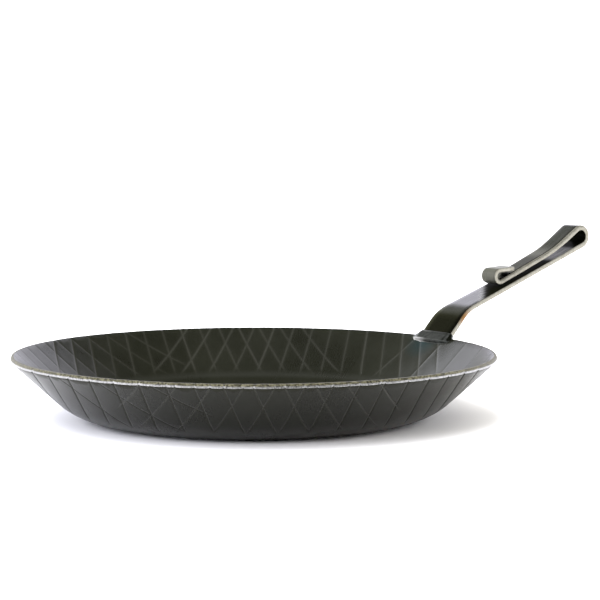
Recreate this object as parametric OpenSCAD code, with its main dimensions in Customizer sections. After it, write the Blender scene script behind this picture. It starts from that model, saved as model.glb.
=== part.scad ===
// Frying pan pressed from one iron sheet, with a one-piece strap handle folded into a hanging hook.
// The strap is drawn as a bent strip: a chain of straight runs and arcs.
// Millimetres, +Z up. The origin is on the pan's axis, at the underside of its flat base.
// The handle runs out along +X.

/* [Pan] */
// Outer radius of the rim, where its face and the outside of the wall would meet
rim_r = 140.8; // [100:0.1:180]
// Height of that corner above the base
rim_z = 35.8; // [25:0.1:60]
// Slope of the flared wall from the horizontal, in degrees
wall_slope = 42.2; // [30:0.1:80]
// Outer radius of the knuckle between base and wall
knuckle_r = 46.8; // [5:0.1:60]
// Thickness of the iron sheet
sheet_t = 3.2; // [1.5:0.1:5]
// Reach of the flat ground on each corner of the rim, along both faces
rim_break = 0.9; // [0.2:0.1:1.2]

/* [Handle] */
// Thickness of the strap
strap_t = 2.8; // [2:0.1:5]
// Length of the strap's foot that laps over the inside of the wall
lap = 4; // [2:0.5:10]
// Length of the foot's straight run, from its end to its first bend
foot_len = 3; // [2:0.5:10]
// Depth that the foot is let into the rim, measured square to the wall
let_in = 1.3; // [0.5:0.1:2]
// Slope of the steep leg, in degrees
steep_slope = 46.9; // [40:0.1:70]
// Length of the steep leg
steep_len = 12.6; // [5:0.1:40]
// Centre-line radius of the bend between the two legs
elbow_r = 29.6; // [5:0.1:60]
// Slope of the long leg, in degrees
long_slope = 19.5; // [5:0.1:40]
// Length of the long leg
long_len = 101; // [60:0.5:160]
// Centre-line radius of the loop at the end
loop_r = 5.75; // [4:0.05:12]
// Slope of the tongue where it leaves the loop, in degrees
tongue_top_slope = 33.3; // [22:0.1:50]
// Length of the tongue's first, steeper run
tongue_top_len = 15.2; // [5:0.1:30]
// Centre-line radius of the slow bend in the tongue
tongue_bend_r = 75; // [20:1:120]
// Slope of the tongue where it lies along the long leg, in degrees
tongue_slope = 21.8; // [15:0.1:30]
// Length of the tongue's run along the long leg
tongue_len = 39.2; // [20:0.1:60]
// Centre-line radius of the curl at the tongue's tip
curl_r = 3.55; // [2.5:0.05:6]
// Slope of the folded tip, in degrees
tip_slope = 2.9; // [0:0.1:20]
// Length of the folded tip
tip_len = 11.2; // [5:0.1:20]
// Width of the strap at its foot
foot_w = 26; // [16:0.5:36]
// Width of the strap where the long leg begins
elbow_w = 21; // [12:0.5:30]
// Width of the strap at the loop
loop_w = 14.6; // [8:0.1:24]
// Width of the strap at the curl
curl_w = 12.6; // [6:0.1:20]

/* [Welds] */
// Thickness of the inner weld over the wall
weld_t = 2.1; // [1.6:0.1:4]
// Reach of the inner weld down the wall from the rim
weld_down = 6; // [4:0.1:10]
// Reach of the inner weld up the strap from the rim
weld_up = 1.5; // [1:0.1:6]
// Width of the ground slope at the inner weld's lower edge
weld_toe = 1.6; // [0.5:0.1:4]
// Reach of the inner weld beyond the strap, on the handle's +Y side
weld_flare = 6; // [1:0.1:10]
// Leg of the weld in the corner under the strap
under_leg = 3; // [1:0.1:6]

/* [View] */

/* [Hidden] */
$fn = 256;

// Depth by which a cutting or trimmed shape runs past the face it meets
past = 1;

// Directions along the wall, up and out, and square to it, in and up
wall_u = [cos(wall_slope), sin(wall_slope)];
wall_v = [-sin(wall_slope), cos(wall_slope)];

// Flat base radius, and the wall's straight run from the knuckle to the rim
base_r = rim_r - rim_z / tan(wall_slope) - knuckle_r * tan(wall_slope / 2);
wall_len = rim_z / sin(wall_slope) - knuckle_r * tan(wall_slope / 2);

// Corners of the rim in the section through the axis
rim_outer = [rim_r, rim_z];
rim_inner = rim_outer + sheet_t * wall_v;

// Lines of the pan's outer surface meet here, in the section through the axis
corner_x = base_r + knuckle_r * tan(wall_slope / 2);

// The knuckle's arcs meet the base and the wall at this small angle, in degrees
kink = 2;

// A run of the bent strap is [length, 0, 0] when straight, or [0, radius, turn] when curved.
// The turn is in degrees, and positive to the left.
foot_bend_r = 8;
foot_start = rim_inner - lap * wall_u + (strap_t / 2 - let_in) * wall_v;
strap_path = [
    [foot_len, 0, 0],
    [0, foot_bend_r, steep_slope - wall_slope],
    [steep_len, 0, 0],
    [0, elbow_r, long_slope - steep_slope],
    [long_len, 0, 0],
    [0, loop_r, 180 + tongue_top_slope - long_slope],
    [tongue_top_len, 0, 0],
    [0, tongue_bend_r, tongue_slope - tongue_top_slope],
    [tongue_len, 0, 0],
    [0, curl_r, tip_slope - tongue_slope - 180],
    [tip_len, 0, 0]
];

// Places of some runs in that path
ELBOW = 3;
LONG = 4;
LOOP = 5;
CURL = 9;

// Largest turn between two stations on a curved run, in degrees
station_turn = 6;

function unit(h) = [cos(h), sin(h)];
function left_of(h) = [-sin(h), cos(h)];

// Point of a run that starts at p with heading h, a part k of the way along it
function run_point(p, h, run, k) =
    run[1] == 0
        ? p + k * run[0] * unit(h)
        : p + sign(run[2]) * run[1] * (left_of(h) - left_of(h + k * run[2]));

// Starting point and heading of every run of a path, and of its end
function path_starts(path, p, h, i = 0) =
    i == len(path)
        ? [[p, h]]
        : concat([[p, h]], path_starts(path, run_point(p, h, path[i], 1), h + path[i][2], i + 1));

starts = path_starts(strap_path, foot_start, wall_slope);

// Points and headings along the whole strap's centre line
function run_stations(p, h, run) =
    let (steps = max(1, ceil(abs(run[2]) / station_turn)))
        [for (i = [0 : steps - 1]) [run_point(p, h, run, i / steps), h + run[2] * i / steps]];

stations = concat(
    [for (i = [0 : len(strap_path) - 1]) each run_stations(starts[i][0], starts[i][1], strap_path[i])],
    [starts[len(strap_path)]]
);

// Places along +X where the strap's width is set
foot_x = starts[ELBOW][0][0];
elbow_x = starts[LONG][0][0];
loop_x = starts[LOOP][0][0] - loop_r * sin(long_slope);
curl_x = starts[CURL][0][0];
strap_end_x = loop_x + loop_r + strap_t;
foot_end_x = foot_start[0] - strap_t;
curl_end_x = curl_x - 3 * curl_r;

// Region above the pan's outer surface, or above a surface that lies an inset inside it
module bowl_region(inset) {
    arc_r = knuckle_r - inset;
    corner = [corner_x - inset * tan(wall_slope / 2), inset];
    top = corner + (wall_len + knuckle_r) * wall_u;
    base_end = [base_r, inset];
    wall_start = [base_r, knuckle_r] - arc_r * wall_v;
    difference() {
        polygon([[0, inset], corner, top, [0, top[1]]]);
        difference() {
            polygon([
                base_end,
                base_end - [0, past],
                corner - past * wall_v,
                wall_start - past * wall_v,
                wall_start
            ]);
            translate([base_r, knuckle_r])
                circle(arc_r / cos(kink));
        }
    }
}

// Puts a section drawn in wall directions at the rim's inner corner
module at_rim() {
    translate(rim_inner)
        rotate(wall_slope)
            children();
}

// Pan: base, knuckle, wall and square-cut rim with its two corners ground off
module pan_shape() {
    rotate_extrude()
        difference() {
            bowl_region(0);
            bowl_region(sheet_t);
            at_rim() {
                translate([0, -sheet_t - past])
                    square([2 * knuckle_r, sheet_t + 2 * past]);
                for (depth = [0, -sheet_t])
                    translate([0, depth])
                        rotate(45)
                            square(rim_break * sqrt(2), center = true);
            }
        }
}

// Turns a section in the X-Z plane into a solid of width w, centred on Y
module across(w) {
    rotate([90, 0, 0])
        linear_extrude(height = w, center = true)
            children();
}

module strap_section() {
    half = strap_t / 2;
    last = len(stations) - 1;
    polygon(concat(
        [for (s = stations) s[0] + half * left_of(s[1])],
        [for (i = [0 : last]) stations[last - i][0] - half * left_of(stations[last - i][1])]
    ));
}

// The tongue and curl's part of the section: all that lies above the gap
module tongue_zone() {
    gap_line = starts[LONG][0] + (strap_t / 2 + 0.25 * strap_t) * left_of(long_slope);
    gap_end = gap_line + (loop_x - gap_line[0]) / cos(long_slope) * unit(long_slope);
    polygon([
        gap_line,
        gap_end,
        [loop_x, gap_end[1] + 4 * loop_r],
        [gap_line[0], gap_end[1] + 4 * loop_r]
    ]);
}

// Plan of the strip between two widths, each given as [X, width]
module taper(widths) {
    last = len(widths) - 1;
    polygon(concat(
        [for (w = widths) [w[0], w[1] / 2]],
        [for (i = [0 : last]) [widths[last - i][0], -widths[last - i][1] / 2]]
    ));
}

// Strap: one section, cut in plan to the leg's taper, and above the gap to the tongue's
module strap_shape() {
    tall = 4 * rim_z;
    difference() {
        intersection() {
            across(2 * foot_w)
                strap_section();
            linear_extrude(height = tall)
                taper([
                    [foot_end_x, foot_w],
                    [foot_x, foot_w],
                    [elbow_x, elbow_w],
                    [loop_x, loop_w],
                    [strap_end_x, loop_w]
                ]);
        }
        for (side = [0, 1])
            mirror([0, side, 0])
                intersection() {
                    across(4 * foot_w)
                        tongue_zone();
                    linear_extrude(height = tall)
                        polygon([
                            [curl_end_x, curl_w / 2],
                            [curl_x, curl_w / 2],
                            [loop_x, loop_w / 2],
                            [loop_x, foot_w],
                            [curl_end_x, foot_w]
                        ]);
                }
    }
}

// Section of the inner weld: a flat crown over the strap's foot, ground down to the wall
module weld_inside_section() {
    at_rim()
        polygon([
            [-weld_down - past, -past],
            [weld_up, -past],
            [weld_up, strap_t - let_in],
            [weld_up - (weld_t - strap_t + let_in), weld_t],
            [weld_toe - weld_down, weld_t],
            [-weld_down, 0]
        ]);
}

// Outline of the inner weld seen square to the wall: it flares out past the strap on one side
module weld_inside_outline() {
    half = foot_w / 2;
    polygon([
        [weld_up + past, half],
        [-weld_down / 2, half + weld_flare],
        [-weld_down - past, half + weld_flare / 2],
        [-weld_down - past, 2 - half],
        [weld_up + past, 1 - half]
    ]);
}

module pan_bowl() {
    color("#3a3b38")
        pan_shape();
}

module hook_handle() {
    color("#8a8a86")
        difference() {
            strap_shape();
            pan_shape();
        }
}

module weld_inside() {
    color("#b08d57")
        difference() {
            intersection() {
                across(2 * foot_w)
                    weld_inside_section();
                translate([rim_inner[0], 0, rim_inner[1]])
                    rotate([0, -wall_slope, 0])
                        linear_extrude(height = 4 * sheet_t, center = true)
                            weld_inside_outline();
            }
            pan_shape();
            strap_shape();
        }
}

module weld_outside() {
    color("#6d8aa8")
        difference() {
            across(foot_w - 2 * past)
                at_rim()
                    polygon([
                        [-past, 0],
                        [under_leg, 0],
                        [under_leg, -let_in],
                        [0, -sheet_t],
                        [-past, -sheet_t]
                    ]);
            pan_shape();
            strap_shape();
        }
}

pan_bowl();
hook_handle();
weld_inside();
weld_outside();
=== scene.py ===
import math
import random
from collections import namedtuple

import bpy
import numpy as np
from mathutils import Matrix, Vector, geometry, noise


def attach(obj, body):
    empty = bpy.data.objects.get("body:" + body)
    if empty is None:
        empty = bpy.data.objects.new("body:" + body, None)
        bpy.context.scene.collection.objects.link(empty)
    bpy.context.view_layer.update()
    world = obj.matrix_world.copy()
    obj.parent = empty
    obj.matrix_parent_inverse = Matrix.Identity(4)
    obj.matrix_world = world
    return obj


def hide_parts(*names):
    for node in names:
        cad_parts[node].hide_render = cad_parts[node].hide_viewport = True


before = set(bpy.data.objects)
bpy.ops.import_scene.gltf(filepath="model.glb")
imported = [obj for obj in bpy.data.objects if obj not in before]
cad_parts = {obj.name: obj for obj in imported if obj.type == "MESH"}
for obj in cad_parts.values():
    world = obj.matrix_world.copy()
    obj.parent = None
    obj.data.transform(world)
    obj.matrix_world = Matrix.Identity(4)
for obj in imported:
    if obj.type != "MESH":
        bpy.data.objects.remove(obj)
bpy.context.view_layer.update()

# Lengths are in millimetres, as in the part's own source; MM turns finished points into metres.
MM = 0.001

# ---- Pan section: flat base, knuckle and flared wall ----
RIM_R = 140.8
RIM_Z = 35.8
WALL = math.radians(42.2)
KNUCKLE_R = 46.8
SHEET_T = 3.2
BASE_R = RIM_R - RIM_Z / math.tan(WALL) - KNUCKLE_R * math.tan(WALL / 2)
WALL_LEN = RIM_Z / math.sin(WALL) - KNUCKLE_R * math.tan(WALL / 2)
WALL_U = np.array([math.cos(WALL), math.sin(WALL)])
WALL_V = np.array([-math.sin(WALL), math.cos(WALL)])
RIM_INNER = np.array([RIM_R, RIM_Z]) + SHEET_T * WALL_V

# The sheet was embossed flat and then pressed. BLANK_* are radii on that flat blank.
MID_ARC = KNUCKLE_R - SHEET_T / 2
BLANK_WALL = BASE_R + MID_ARC * WALL
BLANK_RIM = BLANK_WALL + WALL_LEN

# Ground flats on the rim's corners: their reach along both faces, and the outer one's lean
RIM_BREAK = 0.9
FLAT_LEAN = math.radians(30.0)
RIM_STEPS = (0.12, 0.3, 0.5, 0.7, 0.88)

# Material numbers of the pan's faces and of the strap's
OUTSIDE, INSIDE, RIM = 0, 1, 2
FLAT, EDGE = 0, 1

# ---- Lines embossed on the blank ----
# Each family: direction of its lines in degrees, place of line 0, gap to the next line, growth of
# the gap per line, fanning in degrees per millimetre, first and last line, the ends of the lines
# that are pressed (1 towards the direction, -1 away from it) and their strength.
Family = namedtuple("Family", "direction place gap growth fan first last ends strength")
LINE_FAMILIES = [
    Family(36.1, 5.3, 15.04, 0.0, -0.046, -7, 6, (1, -1), 1.0),
    Family(74.7, -5.4, 14.95, 0.09, -0.037, -6, 7, (1, -1), 1.0),
    Family(128.8, -12.4, 14.3, 0.0, 0.0, -6, 4, (1,), 0.75),
    Family(-8.2, -20.4, 35.5, 0.0, -0.1, -2, 2, (1,), 1.0),
    Family(-32.7, -62.0, 20.0, 0.0, -0.2, -2, 0, (-1,), 0.4),
]
SEED = 11
DEPTH_RANGE = (0.7, 1.1)
SKEW_RANGE = (-0.4, 1.0)

# Groove width, groove depth and depth of the soft hollow round it, on each surface
RELIEF = {"outer": (0.40, 0.48, 0.14), "inner": (0.8, 0.13, 0.03)}
HOLLOW_W = 3.2
LINE_STARTS = {"outer": 106.5, "inner": 113.0}
START_FADE = 6.0
STEEPEST_LEAN = 0.84
LEAN_FADE = 0.06

# Slow unevenness of the pressed sheet
WAVE_RATE = 0.035
WAVE_HEIGHT = 0.06
WAVE_FADE = 20.0

# Mesh of the blank: the embossed band's lowest ring, and the rings of the base inside it
BLANK_LOW = 103.0
RING_COUNT = 288
BAND_RINGS = 11
BASE_RINGS = (98.0, 93.0, 88.0, 83.0, 78.0, 70.0, 60.0, 48.0, 34.0, 18.0, 6.0)
LINE_SHIFTS = (-1.2, -0.7, -0.3, 0.0, 0.3, 0.7, 1.2)
LINE_STEP = 3.0
EDGE_MARGIN = 0.01

# ---- Handle strap: the same bent path as the CAD handle ----
# Runs have a length, bends a radius and the heading in degrees at which they end.
STRAP_T = 2.8
LAP = 4.0
FOOT_LEN = 3.0
LET_IN = 1.3
STRAP_PATH = [
    ("run", FOOT_LEN),
    ("bend", 8.0, 46.9),
    ("run", 12.6),
    ("bend", 29.6, 19.5),
    ("run", 101.0),
    ("bend", 5.75, 213.3),
    ("run", 15.2),
    ("bend", 75.0, 201.8),
    ("run", 39.2),
    ("bend", 3.55, 2.9),
    ("run", 11.2),
]
ELBOW, LONG_LEG, LOOP, TONGUE, CURL = 3, 4, 5, 6, 9
RUN_STEP = 2.0
BEND_STEP = math.radians(4.0)
FOOT_W = 26.0
ELBOW_W = 21.0
LOOP_W = 14.6
CURL_W = 12.6

# Points of the strap's section on each corner and each flat, rounding of its corners in
# millimetres, and unevenness of its edges and faces
CORNER_POINTS = 5
FLAT_POINTS = 5
HALF_SECTION = 2 * CORNER_POINTS + FLAT_POINTS
LEG_ROUND = 0.35
NEAR_ROUND = 0.5
TONGUE_ROUND = 0.6
EDGE_WANDER = 0.06
FACE_RIPPLE = 0.03
LOOP_UPSET = 0.3
UPSET_REACH = 18.0
UPSET_FADE = 8.0

# Painted shade and painted reflection on the strap, drawn as near-black colour where the loop and
# the curl shelter it: length of the leg left unshaded on the strap's middle line, shaded length of
# the tongue, the lighter gap in the painted shade in front of the loop, and the painted shade on the
# curl
LEG_UNSHADED = 15.0
SHADE_FADE = 5.0
TONGUE_SHADED = 42.0
TONGUE_SHADE_FADE = 20.0
SHADE_GAP_BEFORE_LOOP = 19.0
SHADE_GAP_HALF = 12.0
SHADE_GAP_FADE = 6.0
SHADE_GAP_SHARE = 0.42
CURL_SHADE_SHARE = 0.7
CURL_SHADE_FADE = 8.0

# ---- Welds ----
# The inner weld lies in wall coordinates: u up along the wall, v square to it, y across the handle.
# UPPER_ and LOWER_ pairs give its reach u at distances y; the profiles give its height at places u,
# for most of its length and for the low end on the right.
FACE_U = LAP - FOOT_LEN
WELD_LEFT = 19.5
WELD_RIGHT = -15.6
WELD_UNDER = 1.2
UPPER_LEFT = ([12.0, 13.2, 14.5, 16.5, 18.0, WELD_LEFT], [3.3, 3.0, 1.5, -0.1, -1.2, -2.2])
LOWER_LEFT = ([13.0, 16.0, 18.0, WELD_LEFT], [-5.4, -4.8, -3.6, -2.4])
UPPER_RIGHT = ([12.0, 13.4, 14.6, -WELD_RIGHT], [3.3, 2.6, 0.6, -1.0])
LOWER_RIGHT = ([8.0, 11.0, 13.0, 14.2, -WELD_RIGHT], [-5.4, -5.1, -4.9, -4.0, -2.2])
FACET_TOP_U = -2.8
RIDGE_U = 2.3
CROWN_PROFILE = ([-5.4, -3.4, FACET_TOP_U, 1.2, RIDGE_U, 2.7], [0.0, 1.85, 2.0, 1.95, 2.15, 1.9])
FOOT_PROFILE = ([-4.6, -3.6, -2.6, -1.2, 2.2], [0.0, 1.35, 1.75, 1.88, 1.9])
WELD_TOP_U = 3.3
CROWN_FROM = -10.8
CROWN_FADE = 2.4
LEFT_TAPER = 6.5
RIGHT_TAPER = 3.2
FACET_FADE = 1.1
WELD_SUNK = 0.08
WELD_RIPPLE = 0.03
WELD_COLUMNS, WELD_ROWS = 96, 26

# The strap bends up from the wall beyond STRAP_LIFT_U, by this mean angle under the weld.
STRAP_LIFT_U = 0.3
STRAP_LIFT = math.radians(4.7)

# The outer weld: half its length, its leg along the rim and the pitch of its ripples
FILLET_HALF = 11.9
FILLET_LEG = 1.8
FILLET_PITCH = 1.9
FILLET_COLUMNS = 120
FILLET_ARC = 9
STRAP_UNDER = -LET_IN

# ---- Studio ----
# Azimuths are in degrees round the pan's axis, from -Y. The camera stands at CAMERA_AZIMUTH.
CAMERA_AZIMUTH = -37.694
CAMERA_ELEVATION = 5.579
CAMERA_DISTANCE = 1.5
CAMERA_AIM = (0.0079, -0.0330, 0.0704)
CAMERA_LENS = 158.58
SENSOR_WIDTH = 36.0
FLOOR_HALF = 12.0

WALL_WHITE = (1.66, 1.65, 1.84)
WALL_TOP = 29.0
CEILING_GREY = (0.085, 0.088, 0.065)
CEILING = 35.0
DIM_GREY = (0.1, 0.1, 0.11)
DIM_AZIMUTH = CAMERA_AZIMUTH + 20.0
DIM_WIDE, DIM_NARROW = 75.0, 20.0
PANEL_WHITE = (1.1, 1.13, 1.15)
PANEL_AZIMUTH = CAMERA_AZIMUTH - 146.0
PANEL_ELEVATION = 28.0
PANEL_WIDE, PANEL_NARROW = 17.0, 6.0

# Each light: strength, colour, azimuth, elevation and angular width
Light = namedtuple("Light", "strength colour azimuth elevation width")
LIGHTS = {
    "key": Light(7.6, (0.97, 0.98, 1.05), CAMERA_AZIMUTH - 70.0, 48.0, 85.0),
    "fill": Light(3.9, (1.03, 1.0, 0.92), CAMERA_AZIMUTH + 60.0, 62.0, 110.0),
}


def smooth(x):
    """Smooth step from 0 to 1 as x goes from 0 to 1."""
    x = np.clip(x, 0.0, 1.0)
    return x * x * (3.0 - 2.0 * x)


def fade(x):
    """The smooth step of a single number."""
    return float(smooth(x))


def grain(x, y, z):
    """Random unevenness between -1 and 1 that changes slowly from place to place."""
    return noise.noise(Vector((x, y, z)))


# ---------------------------------------------------------------- mesh helpers


class Skin:
    """A piece in the making: its points, its faces and a value at each point for every attribute."""

    def __init__(self, *attributes):
        self.points = []
        self.faces = []
        self.face_material = []
        self.values = {name: [] for name in attributes}

    def add_points(self, points, **values):
        """Adds points in millimetres and gives their numbers. A value is one number or a list."""
        first = len(self.points)
        self.points.extend(points)
        count = len(self.points) - first
        for name, known in self.values.items():
            given = values.get(name, 0.0)
            known.extend([given] * count if isinstance(given, float) else given)
        return list(range(first, first + count))

    def add_faces(self, faces, material=0):
        self.faces.extend(faces)
        self.face_material.extend([material] * len(faces))

    def make(self, name, materials):
        """The finished, smooth-shaded mesh object."""
        mesh = bpy.data.meshes.new(name)
        mesh.from_pydata([tuple(MM * c for c in p) for p in self.points], [], self.faces)
        for material in materials:
            mesh.materials.append(material)
        mesh.polygons.foreach_set("material_index", np.asarray(self.face_material, np.int32))
        mesh.polygons.foreach_set("use_smooth", np.ones(len(mesh.polygons), bool))
        mesh.validate()
        mesh.update()
        for attribute, values in self.values.items():
            layer = mesh.attributes.new(attribute, "FLOAT", "POINT")
            layer.data.foreach_set("value", np.asarray(values, np.float32))
        piece = bpy.data.objects.new(name, mesh)
        bpy.context.scene.collection.objects.link(piece)
        return piece


def ring_faces(first, second, flip=False):
    """Quads between two closed rings of point numbers."""
    quads = []
    for i in range(len(first)):
        j = (i + 1) % len(first)
        quad = (first[i], first[j], second[j], second[i])
        quads.append(quad[::-1] if flip else quad)
    return quads


def fan_faces(middle, ring, flip=False):
    """Triangles from a middle point to a closed ring of point numbers."""
    fan = []
    for i in range(len(ring)):
        triangle = (middle, ring[(i + 1) % len(ring)], ring[i])
        fan.append(triangle[::-1] if flip else triangle)
    return fan


# ---------------------------------------------------------------- pan


def section(rho, inset):
    """Radius, height and slope of the pressed surface at blank radius rho."""
    angle = np.clip((rho - BASE_R) / MID_ARC, 0.0, WALL)
    flat = np.minimum(rho, BASE_R)
    along = np.maximum(rho - BLANK_WALL, 0.0)
    arc = KNUCKLE_R - inset
    r = flat + arc * np.sin(angle) + along * math.cos(WALL)
    z = KNUCKLE_R - arc * np.cos(angle) + along * math.sin(WALL)
    return r, z, angle


def pressed_lines():
    """Every pressed end of every line: heading, offset to its left, end, strength and skew."""
    rng = random.Random(SEED)
    lines = []
    for family in LINE_FAMILIES:
        for k in range(family.first, family.last + 1):
            offset = family.place + family.gap * k + family.growth * k * k
            heading = math.radians(family.direction + family.fan * offset)
            for end in family.ends:
                strength = family.strength * rng.uniform(*DEPTH_RANGE)
                lines.append((heading, offset, end, strength, rng.uniform(*SKEW_RANGE)))
    return lines


LINES = pressed_lines()


def relief(x, y, side):
    """Depth in millimetres of the embossing at blank points, and how much they lie in a line."""
    rho = np.hypot(x, y)
    width, depth, pillow = RELIEF[side]
    groove = np.zeros_like(rho)
    hollow = np.zeros_like(rho)
    start = smooth((rho - LINE_STARTS[side]) / START_FADE)
    for heading, offset, end, strength, skew in LINES:
        along = (x * math.cos(heading) + y * math.sin(heading)) * end
        away = y * math.cos(heading) - x * math.sin(heading) - offset
        lean = smooth((STEEPEST_LEAN - abs(offset) / rho) / LEAN_FADE)
        weight = start * lean * strength * (along > 0)
        groove = np.maximum(groove, weight * np.exp(-((away / width) ** 2)))
        bell = np.exp(-((away / HOLLOW_W) ** 2))
        hollow += weight * bell * (1.0 + skew * away / HOLLOW_W)
    return depth * groove + pillow * hollow, groove


def ring_points(radius, count):
    """Evenly spaced points of a circle on the blank."""
    angles = [2 * math.pi * i / count for i in range(count)]
    return [Vector((radius * math.cos(a), radius * math.sin(a))) for a in angles]


def line_points(heading, away, end, outer):
    """Points of one pressed end of a line that lies away to the left of the blank's centre."""
    low = max(LINE_STARTS["outer"], abs(away) / STEEPEST_LEAN)
    start = math.sqrt(low**2 - away**2)
    stop = math.sqrt((outer + 0.6) ** 2 - away**2)
    steps = max(2, int((stop - start) / LINE_STEP))
    points = []
    for i in range(steps + 1):
        t = end * (start + (stop - start) * i / steps)
        x = t * math.cos(heading) - away * math.sin(heading)
        y = t * math.sin(heading) + away * math.cos(heading)
        points.append(Vector((x, y)))
    return points


def blank_mesh():
    """Points and triangles of the blank's outer band, with triangle edges along every line."""
    inner, outer = BLANK_LOW, BLANK_RIM - RIM_BREAK
    points = []
    edges = []

    def add(chain, closed=False, linked=True):
        first = len(points)
        points.extend(chain)
        if linked:
            edges.extend((first + i, first + i + 1) for i in range(len(chain) - 1))
        if closed:
            edges.append((first + len(chain) - 1, first))

    add(ring_points(inner, RING_COUNT), closed=True)
    add(ring_points(outer, 2 * RING_COUNT), closed=True)
    for k in range(1, BAND_RINGS):
        add(ring_points(inner + (outer - inner) * k / BAND_RINGS, RING_COUNT), linked=False)
    for heading, offset, end, _, _ in LINES:
        for shift in LINE_SHIFTS:
            away = offset + shift
            if abs(away) <= STEEPEST_LEAN * outer:
                add(line_points(heading, away, end, outer))
    result = geometry.delaunay_2d_cdt(points, edges, [], 0, 1e-4)
    flat = np.array([tuple(v) for v in result[0]])
    rho = np.hypot(flat[:, 0], flat[:, 1])
    triangles = [
        f
        for f in result[2]
        if all(rho[i] < outer + 1e-3 for i in f) and any(rho[i] > inner + EDGE_MARGIN for i in f)
    ]
    used = sorted({i for f in triangles for i in f})
    number = {old: new for new, old in enumerate(used)}
    return flat[used], [tuple(number[i] for i in f) for f in triangles]


def surface_points(x, y, side):
    """Points in space of blank points on one surface, and how much they lie in a line."""
    rho = np.hypot(x, y)
    theta = np.arctan2(y, x)
    inset = 0.0 if side == "outer" else SHEET_T
    into_metal = 1.0 if side == "outer" else -1.0
    r, z, slope = section(rho, inset)
    depth, in_line = relief(x, y, side)
    wave = np.array([grain(a * WAVE_RATE, b * WAVE_RATE, inset) for a, b in zip(x, y)])
    lift = into_metal * depth + WAVE_HEIGHT * wave * smooth((rho - BASE_R) / WAVE_FADE)
    r = r - lift * np.sin(slope)
    z = z + lift * np.cos(slope)
    return np.column_stack([r * np.cos(theta), r * np.sin(theta), z]), in_line


def rim_strip(angles, outer_edge, inner_edge):
    """Rows of points over the rim, from the outer surface's edge round to the inner surface's edge.

    Each row comes with its share of the bright outer flat. The outer flat stands nearly upright,
    the sheared face slopes between, and the inner flat lies level.
    """

    def round_grain(rate, layer):
        return np.array([grain(rate * math.cos(a), rate * math.sin(a), layer) for a in angles])

    def wall_uv(edge):
        r = np.hypot(edge[:, 0], edge[:, 1]) - RIM_INNER[0]
        z = edge[:, 2] - RIM_INNER[1]
        return np.array([r * WALL_U[0] + z * WALL_U[1], r * WALL_V[0] + z * WALL_V[1]])

    def place(uv):
        r = RIM_INNER[0] + uv[0] * WALL_U[0] + uv[1] * WALL_V[0]
        z = RIM_INNER[1] + uv[0] * WALL_U[1] + uv[1] * WALL_V[1]
        return np.column_stack([r * np.cos(angles), r * np.sin(angles), z])

    wobble = round_grain(90.0, 4.0)
    slow = round_grain(9.0, 9.0)
    low = wall_uv(outer_edge)
    high = wall_uv(inner_edge)
    flat_rise = RIM_BREAK * (0.92 + 0.10 * slow + 0.05 * wobble)
    flat_end = low + flat_rise * np.array([[math.tan(FLAT_LEAN)], [1.0]])
    level_end = np.array([-0.04 + 0.02 * wobble, high[1] - RIM_BREAK * (1.0 + 0.12 * slow)])
    corners = [low, flat_end, level_end, high]
    rows = []
    for side, (first, last) in enumerate(zip(corners, corners[1:])):
        for step in RIM_STEPS:
            rows.append((place(first + (last - first) * step), 1.0 if side == 0 else 0.0))
    return rows


def close_base(skin, edge, angles, side, material):
    """Rings of faces on one surface, from the embossed band's lower edge to the centre."""
    outside = side == "outer"
    previous = edge
    for radius in BASE_RINGS:
        points, in_line = surface_points(radius * np.cos(angles), radius * np.sin(angles), side)
        current = skin.add_points(points, in_line=in_line)
        skin.add_faces(ring_faces(previous, current, flip=outside), material)
        previous = current
    centre = skin.add_points([(0.0, 0.0, 0.0 if outside else SHEET_T)])[0]
    skin.add_faces(fan_faces(centre, previous, flip=not outside), material)


def pan_bowl(materials):
    """The whole pressed pan as one closed skin; materials are those outside, inside and on the rim."""
    flat, triangles = blank_mesh()
    x, y = flat[:, 0], flat[:, 1]
    rho = np.hypot(x, y)
    theta = np.arctan2(y, x) % (2 * math.pi)
    at_rim = rho > BLANK_RIM - RIM_BREAK - EDGE_MARGIN

    def round_edge(mask):
        found = np.nonzero(mask)[0]
        return found[np.argsort(theta[found])]

    low_edge = round_edge(rho < BLANK_LOW + EDGE_MARGIN)
    top_edge = round_edge(at_rim)
    outer, outer_line = surface_points(x, y, "outer")
    inner, inner_line = surface_points(x, y, "inner")
    skin = Skin("in_line", "bright")
    outer_numbers = np.array(skin.add_points(outer, in_line=outer_line, bright=at_rim * 1.0))
    inner_numbers = np.array(skin.add_points(inner, in_line=inner_line))
    skin.add_faces([tuple(outer_numbers[list(f[::-1])].tolist()) for f in triangles], OUTSIDE)
    skin.add_faces([tuple(inner_numbers[list(f)].tolist()) for f in triangles], INSIDE)
    close_base(skin, outer_numbers[low_edge].tolist(), theta[low_edge], "outer", OUTSIDE)
    close_base(skin, inner_numbers[low_edge].tolist(), theta[low_edge], "inner", INSIDE)

    previous = outer_numbers[top_edge].tolist()
    for row, share in rim_strip(theta[top_edge], outer[top_edge], inner[top_edge]):
        current = skin.add_points(row, bright=share)
        skin.add_faces(ring_faces(previous, current), RIM)
        previous = current
    skin.add_faces(ring_faces(previous, inner_numbers[top_edge].tolist()), RIM)
    return skin.make("pan_body", materials)


# ---------------------------------------------------------------- handle strap

Station = namedtuple("Station", "x z heading travelled run")


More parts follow.
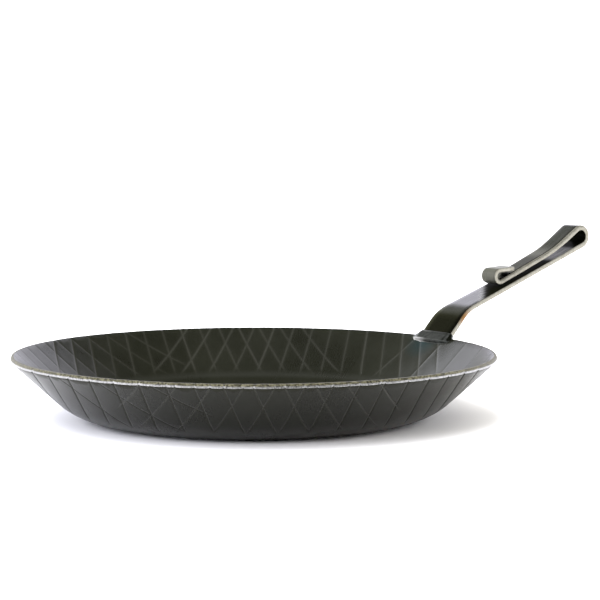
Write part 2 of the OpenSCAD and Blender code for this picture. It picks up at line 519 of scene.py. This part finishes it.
def strap_stations():
    """Stations along the middle line of the bent strap, with the number of the run they are on."""
    x, z = RIM_INNER - LAP * WALL_U + (STRAP_T / 2 - LET_IN) * WALL_V
    heading = WALL
    travelled = 0.0
    stations = []
    for number, (kind, size, *target) in enumerate(STRAP_PATH):
        if kind == "run":
            steps = max(1, round(size / RUN_STEP))
            for i in range(steps):
                t = size * i / steps
                place = (x + t * math.cos(heading), z + t * math.sin(heading))
                stations.append(Station(*place, heading, travelled + t, number))
            x += size * math.cos(heading)
            z += size * math.sin(heading)
            travelled += size
            continue
        turn = math.radians(target[0]) - heading
        side = math.copysign(1.0, turn)
        steps = max(3, round(abs(turn) / BEND_STEP))
        centre = (x - side * size * math.sin(heading), z + side * size * math.cos(heading))
        for i in range(steps):
            h = heading + turn * i / steps
            place = (centre[0] + side * size * math.sin(h), centre[1] - side * size * math.cos(h))
            stations.append(Station(*place, h, travelled + size * abs(turn) * i / steps, number))
        heading += turn
        x = centre[0] + side * size * math.sin(heading)
        z = centre[1] - side * size * math.cos(heading)
        travelled += size * abs(turn)
    stations.append(Station(x, z, heading, travelled, len(STRAP_PATH) - 1))
    return stations


STATIONS = strap_stations()


def run_start(number):
    """First station of a run of the strap."""
    return next(s for s in STATIONS if s.run == number)


LEG_AT = run_start(LONG_LEG).travelled
LOOP_AT = run_start(LOOP).travelled
TONGUE_AT = run_start(TONGUE).travelled
CURL_AT = run_start(CURL).travelled


def strap_width(station):
    """Width of the strap: the leg's taper up to the loop, and the tongue's beyond it."""
    loop_x = run_start(LOOP).x
    if station.run < LOOP:
        places = [run_start(ELBOW).x, run_start(LONG_LEG).x, loop_x]
        return float(np.interp(station.x, places, [FOOT_W, ELBOW_W, LOOP_W]))
    return float(np.interp(station.x, [run_start(CURL).x, loop_x], [CURL_W, LOOP_W]))


def strap_section(half_w, upper_round, lower_round):
    """Section of the strap as (across, through) points; upper is the side towards the tongue."""
    half_t = STRAP_T / 2
    outline = []
    corners = [(1, 1, upper_round), (-1, 1, upper_round), (-1, -1, lower_round), (1, -1, lower_round)]
    for index, (side_y, side_t, radius) in enumerate(corners):
        for k in range(CORNER_POINTS):
            a = math.radians(90.0 * index + 90.0 * k / (CORNER_POINTS - 1))
            y = side_y * (half_w - radius) + radius * math.cos(a)
            t = side_t * (half_t - radius) + radius * math.sin(a)
            outline.append((y, t))
        if index in (0, 2):
            edge = half_w - radius
            for k in range(1, FLAT_POINTS + 1):
                y = edge - 2 * edge * k / (FLAT_POINTS + 1)
                outline.append((side_y * y, side_t * half_t))
    return outline


def corner_share(index):
    """1 in the middle of a rounded corner of the strap's section, 0 on its flats."""
    place = index % HALF_SECTION
    if place >= CORNER_POINTS + FLAT_POINTS:
        place -= CORNER_POINTS + FLAT_POINTS
    middle = (CORNER_POINTS - 1) / 2
    return max(0.0, 1.0 - abs(place - middle) / middle)


def painted_shade_cover(travelled, y, t):
    """Share of near-black painted shade at a point of the section: y across, t through the strap.

    The painted shade and painted reflection lie on the sheltered side, from the leg round the loop to
    the tongue, less in a lighter gap in front of the loop. Painted shade also lies on the curl.
    """
    if t < 0:
        return fade((travelled - CURL_AT) / SHADE_FADE)
    on_leg = fade((travelled - LEG_AT - LEG_UNSHADED - y) / SHADE_FADE)
    on_tongue = fade((TONGUE_AT + TONGUE_SHADED - travelled) / TONGUE_SHADE_FADE)
    # Lighter gap in the painted shade in front of the loop
    from_shade_gap = abs(travelled - LOOP_AT + SHADE_GAP_BEFORE_LOOP)
    shade_gap = SHADE_GAP_SHARE * fade((SHADE_GAP_HALF - from_shade_gap) / SHADE_GAP_FADE)
    on_curl = CURL_SHADE_SHARE * fade((travelled - CURL_AT + CURL_SHADE_FADE) / CURL_SHADE_FADE)
    return max(on_leg * on_tongue * (1.0 - shade_gap), on_curl)


def upset(travelled):
    """Thickening of the strap on the inner side of the tight end loop."""
    before = fade((travelled - LOOP_AT + UPSET_REACH) / UPSET_FADE)
    after = fade((TONGUE_AT + UPSET_REACH - travelled) / UPSET_FADE)
    return LOOP_UPSET * before * after


def hook_handle(materials):
    """The bent strap with its edges rounded; materials are those of its flats and of its edges."""
    # The 'scale' attribute carries the share of painted shade and painted reflection, not mill scale.
    skin = Skin("along", "scale", "corner")
    end = STATIONS[-1].travelled
    rings = []
    for station in STATIONS:
        x, z, heading, travelled, _ = station
        on_tongue = fade((travelled - LOOP_AT) / 8.0) * fade(end - travelled)
        half_w = strap_width(station) / 2 + EDGE_WANDER * grain(travelled * 0.11, 3.0, 0.0)
        outline = strap_section(half_w, LEG_ROUND, NEAR_ROUND + TONGUE_ROUND * on_tongue)
        points = []
        for y, t in outline:
            ripple = FACE_RIPPLE * grain(travelled * 0.09, y * 0.12, t)
            reach = t + ripple + upset(travelled) if t > 0 else t - ripple + FACE_RIPPLE
            points.append((x - reach * math.sin(heading), y, z + reach * math.cos(heading)))
        # Share of painted shade and painted reflection at each point of the section
        scale = [painted_shade_cover(travelled, y, t) for y, t in outline]
        corner = [corner_share(i) * (1.0 - 0.9 * on_tongue) for i in range(len(points))]
        rings.append(skin.add_points(points, along=travelled * MM, scale=scale, corner=corner))
    for lower, upper in zip(rings, rings[1:]):
        for index, quad in enumerate(ring_faces(lower, upper)):
            flat = CORNER_POINTS - 1 <= index % HALF_SECTION < CORNER_POINTS + FLAT_POINTS
            skin.add_faces([quad], FLAT if flat else EDGE)
    for ring, station, flip in ((rings[0], STATIONS[0], False), (rings[-1], STATIONS[-1], True)):
        middle = np.mean([skin.points[i] for i in ring], axis=0)
        number = skin.add_points([tuple(middle)], along=station.travelled * MM)[0]
        skin.add_faces(fan_faces(number, ring, flip), EDGE)
    return skin.make("handle_strap", materials)


# ---------------------------------------------------------------- welds


def rim_point(u, v, y):
    """Point in space of wall coordinates at the strap's first bend, with y across the handle."""
    x, z = RIM_INNER + (u - FACE_U) * WALL_U + v * WALL_V
    return (x, y, z)


def rim_sag(y):
    """How far the round rim falls back from the flat of the strap's foot, y to one side."""
    return RIM_INNER[0] - math.sqrt(RIM_INNER[0] ** 2 - y * y)


def wall_lift(y):
    """Rise of the round wall above the flat plane of the strap's foot, y to one side."""
    return rim_sag(y) * math.sin(WALL)


def weld_reach(y):
    """Lowest and highest place, along the wall, of the inner weld at a distance y across."""
    lower, upper = (LOWER_LEFT, UPPER_LEFT) if y > 0 else (LOWER_RIGHT, UPPER_RIGHT)
    return float(np.interp(abs(y), *lower)), float(np.interp(abs(y), *upper))


def weld_height(u, y):
    """Top of the inner weld: a ridge on the strap, a ground flat and a steep facet to the wall."""
    strap_top = STRAP_T - LET_IN + max(u - STRAP_LIFT_U, 0.0) * math.tan(STRAP_LIFT)

    def profile(places, heights):
        return float(np.interp(u, [*places, WELD_TOP_U], [*heights, strap_top]))

    foot = profile(*FOOT_PROFILE)
    crown = profile(*CROWN_PROFILE)
    top = foot + (crown - foot) * fade((y - CROWN_FROM) / CROWN_FADE)
    sides = fade((WELD_LEFT + 0.5 - y) / LEFT_TAPER) * fade((y - WELD_RIGHT + 0.4) / RIGHT_TAPER)
    cover = fade((u - weld_reach(y)[0] + 0.15) / FACET_FADE) * sides
    lift = wall_lift(y)
    return lift - WELD_SUNK + (top - lift + 0.02) * cover


def bare_metal(u, y):
    """Share of bright colour on the inner weld: ground metal on its steep facet, painted highlight on
    its ridge.
    """
    facet = fade((FACET_TOP_U - u) / 0.8) * fade((y - 4.0) / 10.0)
    # Painted highlight along the weld's ridge
    ridge = 0.4 * math.exp(-(((u - RIDGE_U) / 0.5) ** 2)) * fade((y - 2.0) / 8.0)
    return max(facet, ridge)


def weld_inside(materials):
    """The ground weld over the strap's foot: a closed lens with its lower side sunk in the metal."""
    skin = Skin("bare")
    sheets = []
    for on_top in (1, 0):
        sheet = []
        for i in range(WELD_COLUMNS + 1):
            y = WELD_RIGHT + (WELD_LEFT - WELD_RIGHT) * i / WELD_COLUMNS
            lower, upper = weld_reach(y)
            for j in range(WELD_ROWS + 1):
                u = lower + (upper - lower) * j / WELD_ROWS
                v = weld_height(u, y) if on_top else wall_lift(y) - WELD_UNDER
                v += WELD_RIPPLE * on_top * grain(u * 0.7, y * 0.5, 2.0)
                sheet += skin.add_points([rim_point(u, v, y)], bare=bare_metal(u, y) * on_top)
        sheets.append(sheet)
    top, under = sheets
    row = WELD_ROWS + 1
    for i in range(WELD_COLUMNS):
        for j in range(WELD_ROWS):
            a = i * row + j
            skin.add_faces([(top[a], top[a + 1], top[a + row + 1], top[a + row])])
            skin.add_faces([(under[a], under[a + row], under[a + row + 1], under[a + 1])])
    last = WELD_COLUMNS * row
    around = [i * row for i in range(WELD_COLUMNS)]
    around += [last + j for j in range(WELD_ROWS)]
    around += [i * row + WELD_ROWS for i in range(WELD_COLUMNS, 0, -1)]
    around += list(range(WELD_ROWS, 0, -1))
    skin.add_faces(ring_faces([top[a] for a in around], [under[a] for a in around]))
    return skin.make("weld_over_foot", materials)


def fillet_section(y):
    """Closed section of the outer weld at a distance y across, as points in space."""
    lift = wall_lift(y)
    back = rim_sag(y) * math.cos(WALL)
    end = math.sqrt(max(0.0, 1.0 - (abs(y) / FILLET_HALF) ** 6))
    ripple = 0.10 * math.sin(2 * math.pi * y / FILLET_PITCH) + 0.05 * grain(y * 0.4, 0.0, 5.0)
    leg_u = FILLET_LEG * end * (1.0 + ripple * 0.4) + 0.05
    leg_v = (SHEET_T - LET_IN - 0.15) * (0.35 + 0.65 * end)
    points = []
    for k in range(FILLET_ARC):
        a = math.radians(90.0 * k / (FILLET_ARC - 1))
        bulge = 0.12 * math.sin(2 * a) * (1.0 + ripple * 6)
        u = FACE_U - back * 0.5 + leg_u * (1.0 - math.sin(a)) + bulge
        v = STRAP_UNDER + 0.05 - leg_v * (1.0 - math.cos(a)) + lift * 0.3 - bulge
        points.append(rim_point(u, v, y))
    points.append(rim_point(FACE_U - back - 0.4, STRAP_UNDER - leg_v * 0.7, y))
    points.append(rim_point(FACE_U - back - 0.4, STRAP_UNDER + 0.4, y))
    points.append(rim_point(FACE_U + 0.5, STRAP_UNDER + 0.6, y))
    return points


def weld_outside(materials):
    """The rippled fillet weld in the corner between the rim and the underside of the strap."""
    skin = Skin()
    rings = []
    for i in range(FILLET_COLUMNS + 1):
        y = -FILLET_HALF + 2 * FILLET_HALF * i / FILLET_COLUMNS
        rings.append(skin.add_points(fillet_section(y)))
    for left, right in zip(rings, rings[1:]):
        skin.add_faces(ring_faces(left, right))
    skin.add_faces([tuple(rings[0][::-1]), tuple(rings[-1])])
    return skin.make("weld_under_strap", materials)


# ---------------------------------------------------------------- materials

# Colours are linear red, green and blue. Lengths in the materials are in metres.
WHITE = (1.0, 1.0, 1.0)
BLACK = (0.0, 0.0, 0.0)

# Distances along the strap between which its tints come and go
HEAT_START, HEAT_END = (0.013, 0.019), (0.021, 0.029)
FOOT_END = (0.019, 0.031)
SLOPE_START, SLOPE_END = (0.178, 0.190), (0.212, 0.222)
CURL_TINT = (0.140, 0.215)

# The faint ring at the edge of the floor inside: where it comes and goes, from the axis
RING_START, RING_END = (0.1060, 0.1085), (0.1090, 0.1120)

# The wall under the strap's foot that the welding tinted: its place u, v, y in millimetres
TINTED_WALL = (-6.0, 0.0, 7.0)
TINT_REACH = 0.013
TINT_SHARE = 0.45


class Nodes:
    """Builds a node tree. Numbers, sockets and colours can be given for any input."""

    def __init__(self, tree):
        self.tree = tree

    def put(self, socket, value):
        if isinstance(value, bpy.types.NodeSocket):
            self.tree.links.new(value, socket)
        elif isinstance(value, tuple) and len(value) == 3 and socket.type == "RGBA":
            socket.default_value = (*value, 1.0)
        else:
            socket.default_value = value

    def node(self, kind, inputs=(), output=0, **properties):
        made = self.tree.nodes.new("ShaderNode" + kind)
        for key, value in properties.items():
            setattr(made, key, value)
        for index, value in dict(inputs).items():
            self.put(made.inputs[index], value)
        return made.outputs[output]

    def math(self, operation, a, b=0.0):
        return self.node("Math", {0: a, 1: b}, operation=operation)

    def times(self, a, b):
        return self.math("MULTIPLY", a, b)

    def vector(self, operation, a, b=(0.0, 0.0, 0.0), output=0):
        return self.node("VectorMath", {0: a, 1: b}, output=output, operation=operation)

    def noise(self, place, scale, detail=3.0, rough=0.55):
        inputs = {"Vector": place, "Scale": scale, "Detail": detail, "Roughness": rough}
        return self.node("TexNoise", inputs)

    def spread(self, value, low, high, to_low=0.0, to_high=1.0):
        """Maps value from one range to another, clamped at both ends."""
        inputs = {"Value": value, "From Min": low, "From Max": high, "To Min": to_low, "To Max": to_high}
        return self.node("MapRange", inputs)

    def mix(self, factor, a, b):
        """Colour a where the factor is 0 and colour b where it is 1."""
        made = self.tree.nodes.new("ShaderNodeMix")
        made.data_type = "RGBA"
        self.put(made.inputs["Factor"], factor)
        self.put(made.inputs[6], a)
        self.put(made.inputs[7], b)
        return made.outputs[2]

    def towards(self, direction, middle, wide, narrow):
        """1 within narrow degrees of the middle direction, fading to 0 at wide degrees from it."""
        share = self.vector("DOT_PRODUCT", direction, middle, output="Value")
        return self.spread(share, math.cos(math.radians(wide)), math.cos(math.radians(narrow)))

    def near(self, place, centre, size):
        """1 at centre, fading to 0 at a distance size."""
        away = self.vector("SUBTRACT", place, centre)
        distance = self.vector("LENGTH", away, output="Value")
        return self.spread(distance, 0.0, size, 1.0, 0.0)

    def bump(self, height, distance, strength=1.0):
        return self.node("Bump", {"Height": height, "Distance": distance, "Strength": strength})


class Shader(Nodes):
    """A node tree for one material."""

    def __init__(self, name):
        self.material = bpy.data.materials.new(name)
        self.material.use_nodes = True
        super().__init__(self.material.node_tree)
        self.surface = self.tree.nodes["Principled BSDF"]

    def set(self, name, value):
        self.put(self.surface.inputs[name], value)

    def position(self):
        return self.node("TexCoord", output="Object")

    def attribute(self, name):
        return self.node("Attribute", output="Fac", attribute_name=name)


def streak_place(shader):
    """Texture place that changes fast round the pan's axis and slowly up its wall."""
    place = shader.position()
    around = shader.vector("NORMALIZE", shader.vector("MULTIPLY", place, (1.0, 1.0, 0.0)))
    length = shader.vector("LENGTH", place, output="Value")
    wide = shader.node("VectorMath", {0: around, "Scale": 60.0}, operation="SCALE")
    lift = shader.node("CombineXYZ", {2: shader.times(length, 40.0)})
    return shader.vector("ADD", wide, lift)


def black_iron(name, ior, shade, line_highlight_share, sheen):
    """Oil-blackened sheet iron: dark olive grey, satin, with faint streaks up the wall.

    shade scales its colour, the line share gives the painted highlight on the embossed lines and sheen
    tints its gloss.
    """

    def shaded(*colour):
        return tuple(shade * c for c in colour)

    s = Shader(name)
    place = s.position()
    cloud = s.noise(place, scale=28.0, detail=4.0)
    fine = s.noise(place, scale=420.0)
    streak = s.noise(streak_place(s), scale=6.0, detail=4.0, rough=0.65)
    dark = shaded(0.0080, 0.0085, 0.0052)
    light = shaded(0.0125, 0.0132, 0.0085)
    iron = s.mix(s.spread(cloud, 0.35, 0.7), dark, light)
    iron = s.mix(s.spread(streak, 0.45, 0.75, 0.0, 0.35), iron, shaded(0.018, 0.0185, 0.015))
    # Painted highlight: the embossed lines are drawn lighter than the iron around them.
    in_line = s.times(s.attribute("in_line"), line_highlight_share)
    iron = s.mix(in_line, iron, (0.042, 0.042, 0.035))
    from_axis = s.vector("LENGTH", s.vector("MULTIPLY", place, (1.0, 1.0, 0.0)), output="Value")
    ring = s.times(s.spread(from_axis, *RING_START), s.spread(from_axis, *RING_END, 0.35, 0.0))
    iron = s.mix(ring, iron, shaded(0.030, 0.031, 0.026))
    tinted = s.near(place, tuple(MM * c for c in rim_point(*TINTED_WALL)), TINT_REACH)
    s.set("Base Color", s.mix(s.times(tinted, TINT_SHARE), iron, (0.004, 0.020, 0.024)))
    s.set("Metallic", 0.0)
    s.set("IOR", ior)
    s.set("Specular Tint", sheen)
    s.set("Roughness", s.spread(s.math("ADD", s.times(streak, 0.4), cloud), 0.5, 0.9, 0.26, 0.33))
    s.set("Normal", s.bump(s.math("ADD", s.times(fine, 0.4), streak), 0.00004, 0.4))
    return s.material


def ground_rim():
    """Bare ground edge of the sheet: speckled across the face, bright along the outer corner."""
    s = Shader("ground_rim")
    place = s.position()
    speck = s.noise(place, scale=900.0, detail=2.0, rough=0.6)
    patch = s.noise(place, scale=160.0)
    bright = s.attribute("bright")
    dull = s.mix(s.spread(speck, 0.40, 0.62), (0.038, 0.036, 0.024), (0.215, 0.203, 0.128))
    dull = s.mix(s.spread(patch, 0.4, 0.75, 0.0, 0.5), dull, (0.09, 0.085, 0.055))
    shiny = s.mix(s.spread(speck, 0.35, 0.65), (0.25, 0.25, 0.24), (0.50, 0.50, 0.49))
    s.set("Base Color", s.mix(bright, dull, shiny))
    s.set("Metallic", s.spread(bright, 0.0, 1.0, 0.68, 0.88))
    matt = s.spread(speck, 0.3, 0.7, 0.38, 0.58)
    s.set("Roughness", s.math("SUBTRACT", matt, s.times(bright, 0.14)))
    s.set("Normal", s.bump(speck, 0.00008, 0.5))
    return s.material


def strap_steel():
    """Flat faces of the strap: satin steel brushed along its length, and near-black painted shade.

    The foot is heated dark, the tongue's slope is dull, and the steel turns slightly yellow towards
    the curl.
    """
    s = Shader("strap_steel")
    place = s.position()
    along = s.attribute("along")
    across = s.node("SeparateXYZ", {0: place}, output="Y")
    run = s.node("CombineXYZ", {0: s.times(along, 30.0), 1: s.times(across, 900.0)})
    brushed = s.noise(run, scale=1.0, detail=4.0, rough=0.6)
    cloud = s.noise(place, scale=60.0)
    foot = s.spread(along, *FOOT_END, 1.0, 0.0)
    slope = s.times(s.spread(along, *SLOPE_START), s.spread(along, *SLOPE_END, 1.0, 0.3))
    curl = s.spread(along, *CURL_TINT)
    # Share of near-black painted shade and painted reflection: on the leg, round the loop and on the
    # curl
    scale = s.attribute("scale")
    steel = s.mix(s.spread(brushed, 0.3, 0.7), (0.235, 0.235, 0.232), (0.305, 0.305, 0.302))
    steel = s.mix(s.spread(cloud, 0.45, 0.7, 0.0, 0.5), steel, (0.20, 0.197, 0.185))
    steel = s.mix(foot, steel, (0.012, 0.0125, 0.008))
    steel = s.mix(slope, steel, (0.14, 0.14, 0.135))
    steel = s.mix(s.times(curl, 0.8), steel, (0.225, 0.225, 0.175))
    # Painted shade: near-black colour where that share is set, which also turns off the metal and lowers
    # the IOR below.
    s.set("Base Color", s.mix(scale, steel, (0.0022, 0.0023, 0.001)))
    sheen = s.mix(s.math("MAXIMUM", foot, curl), WHITE, (1.0, 1.0, 0.8))
    s.set("Specular Tint", s.mix(slope, sheen, (0.56, 0.56, 0.56)))
    s.set("Metallic", s.math("SUBTRACT", 1.0, scale))
    s.set("IOR", s.spread(scale, 0.0, 1.0, 1.5, 1.04))
    s.set("Roughness", s.math("ADD", s.spread(brushed, 0.3, 0.7, 0.20, 0.28), s.times(scale, 0.08)))
    s.set("Normal", s.bump(brushed, 0.00002, 0.4))
    return s.material


def strap_edge():
    """Sheared and ground edges of the strap: bright, with a heat tint at the elbow."""
    s = Shader("strap_edge")
    place = s.position()
    along = s.attribute("along")
    fine = s.noise(place, scale=700.0)
    cloud = s.noise(place, scale=120.0)
    heated = s.times(s.spread(along, *HEAT_START), s.spread(along, *HEAT_END, 1.0, 0.0))
    steel = s.mix(s.spread(fine, 0.35, 0.65), (0.20, 0.192, 0.155), (0.31, 0.30, 0.25))
    steel = s.mix(s.spread(cloud, 0.5, 0.75, 0.0, 0.5), steel, (0.21, 0.195, 0.145))
    steel = s.mix(s.times(heated, 0.9), steel, (0.19, 0.085, 0.01))
    s.set("Base Color", s.mix(s.times(s.attribute("corner"), 0.65), steel, (0.11, 0.10, 0.07)))
    s.set("Metallic", 0.7)
    s.set("Roughness", s.spread(fine, 0.3, 0.7, 0.30, 0.45))
    s.set("Normal", s.bump(fine, 0.00005, 0.6))
    return s.material


def weld_metal():
    """Weld metal: darkened like the strap's foot, ground clean on the facet above the wall and with a
    painted highlight along its ridge.
    """
    s = Shader("weld_metal")
    fine = s.noise(s.position(), scale=500.0)
    dark = s.mix(s.spread(fine, 0.3, 0.7), (0.045, 0.05, 0.042), (0.10, 0.105, 0.09))
    # The mask gives ground metal on the facet and a painted highlight on the ridge.
    s.set("Base Color", s.mix(s.attribute("bare"), dark, (0.55, 0.55, 0.50)))
    s.set("Metallic", 1.0)
    s.set("Roughness", s.spread(fine, 0.3, 0.7, 0.28, 0.42))
    s.set("Normal", s.bump(fine, 0.00005, 0.5))
    return s.material


def floor_paper():
    """Plain pale studio floor."""
    s = Shader("floor_paper")
    tone = s.noise(s.position(), scale=3.0, detail=2.0)
    s.set("Base Color", s.mix(tone, (0.90, 0.90, 0.92), (0.93, 0.93, 0.94)))
    s.set("Roughness", 0.9)
    return s.material


# ---------------------------------------------------------------- studio


def turned(azimuth, elevation):
    """Direction at an azimuth round the pan's axis, counted from -Y, and an elevation."""
    a, e = math.radians(azimuth), math.radians(elevation)
    return (math.cos(e) * math.sin(a), -math.cos(e) * math.cos(a), math.sin(e))


def make_floor():
    h = FLOOR_HALF
    mesh = bpy.data.meshes.new("floor")
    mesh.from_pydata([(-h, -h, 0), (h, -h, 0), (h, h, 0), (-h, h, 0)], [], [(0, 1, 2, 3)])
    mesh.materials.append(floor_paper())
    floor = bpy.data.objects.new("floor", mesh)
    bpy.context.scene.collection.objects.link(floor)


def make_world():
    """White studio walls, dimmer on the camera's side, a darker ceiling and one high soft panel."""
    world = bpy.data.worlds.new("studio")
    world.use_nodes = True
    bpy.context.scene.world = world
    n = Nodes(world.node_tree)
    direction = n.node("TexCoord", output="Generated")
    height = n.node("SeparateXYZ", {0: direction}, output="Z")
    dim = n.towards(direction, turned(DIM_AZIMUTH, 0.0), DIM_WIDE, DIM_NARROW)
    walls = n.mix(dim, WALL_WHITE, DIM_GREY)
    above = n.spread(height, math.sin(math.radians(WALL_TOP)), math.sin(math.radians(CEILING)))
    room = n.mix(above, walls, CEILING_GREY)
    on_panel = n.towards(direction, turned(PANEL_AZIMUTH, PANEL_ELEVATION), PANEL_WIDE, PANEL_NARROW)
    panel = n.mix(on_panel, BLACK, PANEL_WHITE)
    n.put(n.tree.nodes["Background"].inputs[0], n.vector("ADD", room, panel))


def add_light(name, light):
    """A broad even light from far away that is not seen in reflections."""
    data = bpy.data.lights.new(name, "SUN")
    data.energy = light.strength
    data.color = light.colour
    data.angle = math.radians(light.width)
    sun = bpy.data.objects.new(name, data)
    back = Vector(turned(light.azimuth, light.elevation))
    sun.rotation_euler = back.to_track_quat("Z", "Y").to_euler()
    sun.visible_glossy = False
    bpy.context.scene.collection.objects.link(sun)


def make_camera():
    data = bpy.data.cameras.new("camera")
    data.lens = CAMERA_LENS
    data.sensor_width = SENSOR_WIDTH
    camera = bpy.data.objects.new("camera", data)
    back = Vector(turned(CAMERA_AZIMUTH, CAMERA_ELEVATION))
    camera.location = Vector(CAMERA_AIM) + CAMERA_DISTANCE * back
    camera.rotation_euler = (-back).to_track_quat("-Z", "Y").to_euler()
    bpy.context.scene.collection.objects.link(camera)
    bpy.context.scene.camera = camera


# ---------------------------------------------------------------- assembly

make_camera()
make_floor()
make_world()
for light_name, light in LIGHTS.items():
    add_light(light_name, light)
bpy.context.scene.view_settings.view_transform = "Standard"

PAN_MATERIALS = [
    # The outside and inside are one iron drawn twice: the outside's colour is scaled to 0.3 against 0.72
    # inside, with a lower IOR, as painted shade for the outer wall that faces the shadowed floor.
    black_iron("black_iron", ior=1.235, shade=0.3, line_highlight_share=0.35, sheen=(1.0, 1.0, 0.78)),
    black_iron("inner_iron", ior=1.34, shade=0.72, line_highlight_share=0.30, sheen=WHITE),
    ground_rim(),
]
PIECES = [
    (pan_bowl(PAN_MATERIALS), "pan_bowl", "black_iron"),
    (hook_handle([strap_steel(), strap_edge()]), "hook_handle", "strap_steel"),
    (weld_inside([weld_metal()]), "weld_inside", "weld_metal"),
    (weld_outside([weld_metal()]), "weld_outside", "weld_metal"),
]
for piece, node, slot in PIECES:
    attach(piece, "root")
    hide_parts(node)
